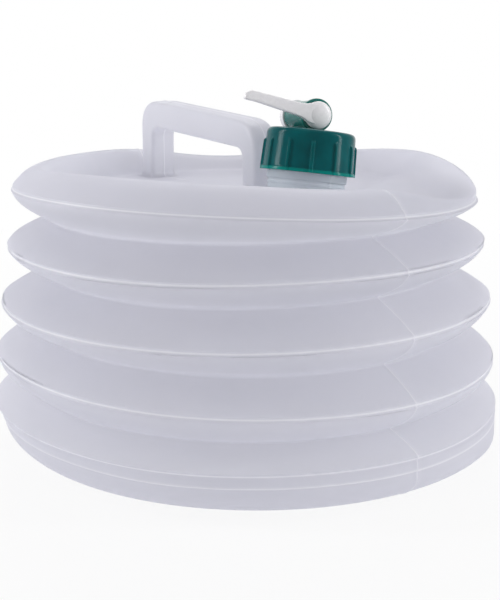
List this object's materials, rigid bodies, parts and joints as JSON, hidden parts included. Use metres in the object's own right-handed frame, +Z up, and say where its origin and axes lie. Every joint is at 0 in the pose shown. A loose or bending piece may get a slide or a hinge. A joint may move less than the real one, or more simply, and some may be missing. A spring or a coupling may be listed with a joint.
{
  "type": "collapsible water carrier",
  "caption": "Round bellows water bottle that folds down, with a strap carry handle, a leaning threaded neck and a screw cap carrying a lever tap.",
  "frame": {"origin": "middle of the floor face, under the bottle's own axis", "axes": "+Z up along the bottle's axis; the parting plane is X-Z, with the carry handle on the -X side and the neck on the +X side"},
  "size_m": [0.287, 0.287, 0.2033],
  "materials": {
    "bottle": "frosted, softly translucent polyethylene",
    "cap": "glossy moulded teal polypropylene",
    "tap": "satin white moulded plastic",
    "liner": "soft pale foam washer"
  },
  "bodies": {
    "base": {"base_pan": "bottle", "fold_1_lower_wall": "bottle"},
    "root_1": {"fold_1_root_ring": "bottle"},
    "crest_1": {"fold_1_upper_wall": "bottle", "crest_ring_1": "bottle", "fold_2_lower_wall": "bottle"},
    "root_2": {"fold_2_root_ring": "bottle"},
    "crest_2": {"fold_2_upper_wall": "bottle", "crest_ring_2": "bottle", "fold_3_lower_wall": "bottle"},
    "root_3": {"fold_3_root_ring": "bottle"},
    "crest_3": {"fold_3_upper_wall": "bottle", "crest_ring_3": "bottle", "fold_4_lower_wall": "bottle"},
    "root_4": {"fold_4_root_ring": "bottle"},
    "top": {"fold_4_upper_wall": "bottle", "shoulder_deck": "bottle", "threaded_neck": "bottle", "carry_handle": "bottle"},
    "seal": {"cap_liner": "liner"},
    "cap": {"screw_cap": "cap", "tap_body": "cap"},
    "plug": {"tap_plug": "tap", "spout_collar": "tap"}
  },
  "joints": [
    {"name": "collapse", "type": "slide", "parent": "base", "child": "top", "axis": [0, 0, 1], "range_m": [-0.088, 0], "deforming": ["fold_4_upper_wall"]},
    {"name": "root_1_sink", "type": "slide", "parent": "base", "child": "root_1", "axis": [0, 0, 1], "range_m": [-0.0081, 0], "deforming": ["fold_1_lower_wall"]},
    {"name": "crest_1_sink", "type": "slide", "parent": "base", "child": "crest_1", "axis": [0, 0, 1], "range_m": [-0.02025, 0], "deforming": ["fold_1_upper_wall", "fold_2_lower_wall"]},
    {"name": "root_2_sink", "type": "slide", "parent": "base", "child": "root_2", "axis": [0, 0, 1], "range_m": [-0.03074, 0]},
    {"name": "crest_2_sink", "type": "slide", "parent": "base", "child": "crest_2", "axis": [0, 0, 1], "range_m": [-0.04258, 0], "deforming": ["fold_2_upper_wall", "fold_3_lower_wall"]},
    {"name": "root_3_sink", "type": "slide", "parent": "base", "child": "root_3", "axis": [0, 0, 1], "range_m": [-0.05418, 0]},
    {"name": "crest_3_sink", "type": "slide", "parent": "base", "child": "crest_3", "axis": [0, 0, 1], "range_m": [-0.06579, 0], "deforming": ["fold_3_upper_wall", "fold_4_lower_wall"]},
    {"name": "root_4_sink", "type": "slide", "parent": "base", "child": "root_4", "axis": [0, 0, 1], "range_m": [-0.07623, 0]},
    {"name": "cap_lift", "type": "slide", "parent": "top", "child": "seal", "axis": [-0.0345, 0.1564, 0.9871], "range_m": [0, 0.0271]},
    {"name": "cap_turn", "type": "hinge", "parent": "seal", "child": "cap", "pos_m": [0.0523, 0, 0.1445], "axis": [-0.0345, 0.1564, 0.9871], "range_deg": [0, 2160]},
    {"name": "tap_turn", "type": "hinge", "parent": "cap", "child": "plug", "pos_m": [0.05074, 0.00707, 0.18912], "axis": [-0.9488, 0.3052, -0.0815], "range_deg": [0, 90]}
  ],
  "couplings": [
    {"joint": "root_1_sink", "follows": "collapse", "ratio": 0.092},
    {"joint": "crest_1_sink", "follows": "collapse", "ratio": 0.23},
    {"joint": "root_2_sink", "follows": "collapse", "ratio": 0.34926},
    {"joint": "crest_2_sink", "follows": "collapse", "ratio": 0.48375},
    {"joint": "root_3_sink", "follows": "collapse", "ratio": 0.61562},
    {"joint": "crest_3_sink", "follows": "collapse", "ratio": 0.7475},
    {"joint": "root_4_sink", "follows": "collapse", "ratio": 0.86618},
    {"joint": "cap_lift", "follows": "cap_turn", "m_per_rad": 0.0007162}
  ]
}
